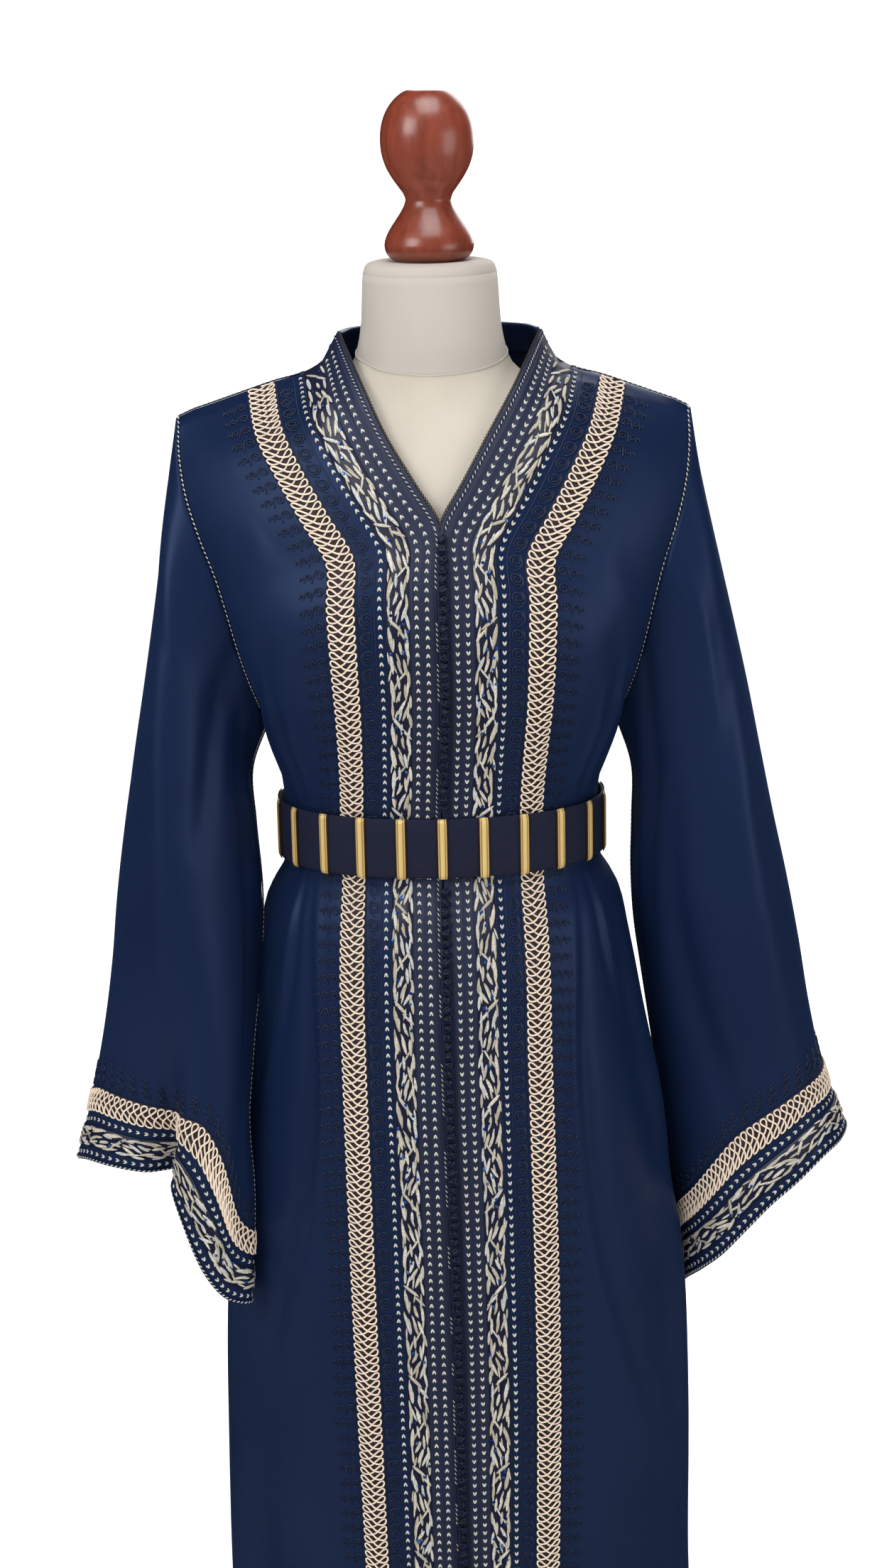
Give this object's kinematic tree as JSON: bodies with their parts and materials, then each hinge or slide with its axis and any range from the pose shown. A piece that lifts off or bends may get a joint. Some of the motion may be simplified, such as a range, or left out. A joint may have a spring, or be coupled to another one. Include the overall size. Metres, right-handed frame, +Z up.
{
  "type": "kaftan on a dress form",
  "caption": "Floor-length navy satin kaftan with wide sleeves, a V neck, corded front bands and a barred belt, worn by a limbless dress form on a round stand.",
  "frame": {"origin": "centre of the stand's underside, on the floor below the dress form's axis", "axes": "+Z up, +Y to the garment's back, +X to the wearer's left, which is the right side seen from the front"},
  "size_m": [0.71, 0.3429, 1.6535],
  "materials": {
    "navy_satin": "navy crepe-back satin, soft sheen",
    "navy_band": "navy band with off-white stitching",
    "leaf_band": "silver and beige thread leaves on navy",
    "gold_braid": "pale gold looped cord braid",
    "knotted_cord": "blue-black knotted silk cord",
    "belt_cloth": "ribbed blue-black belting",
    "gold_bar": "gold thread bars with a satin lustre",
    "form_jersey": "ivory jersey stretched over the form",
    "turned_wood": "red-brown turned wood, satin lacquer",
    "stand_steel": "plain steel pole",
    "stand_base": "red-brown turned wood, satin lacquer"
  },
  "bodies": {
    "root": {"back": "navy_satin", "base": "stand_base", "belt": "belt_cloth", "belt_bar_01": "gold_bar", "belt_bar_02": "gold_bar", "belt_bar_03": "gold_bar", "belt_bar_04": "gold_bar", "belt_bar_05": "gold_bar", "belt_bar_06": "gold_bar", "belt_bar_07": "gold_bar", "belt_bar_08": "gold_bar", "belt_bar_09": "gold_bar", "belt_bar_10": "gold_bar", "belt_bar_11": "gold_bar", "belt_bar_12": "gold_bar", "belt_bar_13": "gold_bar", "belt_bar_14": "gold_bar", "belt_bar_15": "gold_bar", "belt_bar_16": "gold_bar", "belt_bar_17": "gold_bar", "belt_bar_18": "gold_bar", "belt_bar_19": "gold_bar", "belt_bar_20": "gold_bar", "belt_bar_21": "gold_bar", "belt_bar_22": "gold_bar", "braid_left": "gold_braid", "braid_right": "gold_braid", "button_row_lower": "knotted_cord", "button_row_upper": "knotted_cord", "collar": "navy_band", "cuff_braid_left": "gold_braid", "cuff_braid_right": "gold_braid", "cuff_leaf_left": "leaf_band", "cuff_leaf_right": "leaf_band", "finial": "turned_wood", "front_left": "navy_satin", "front_right": "navy_satin", "leaf_band_left": "leaf_band", "leaf_band_right": "leaf_band", "neck_cap": "form_jersey", "placket_left": "navy_band", "placket_right": "navy_band", "pole": "stand_steel", "sleeve_left": "navy_satin", "sleeve_right": "navy_satin", "torso": "form_jersey"}
  },
  "joints": []
}
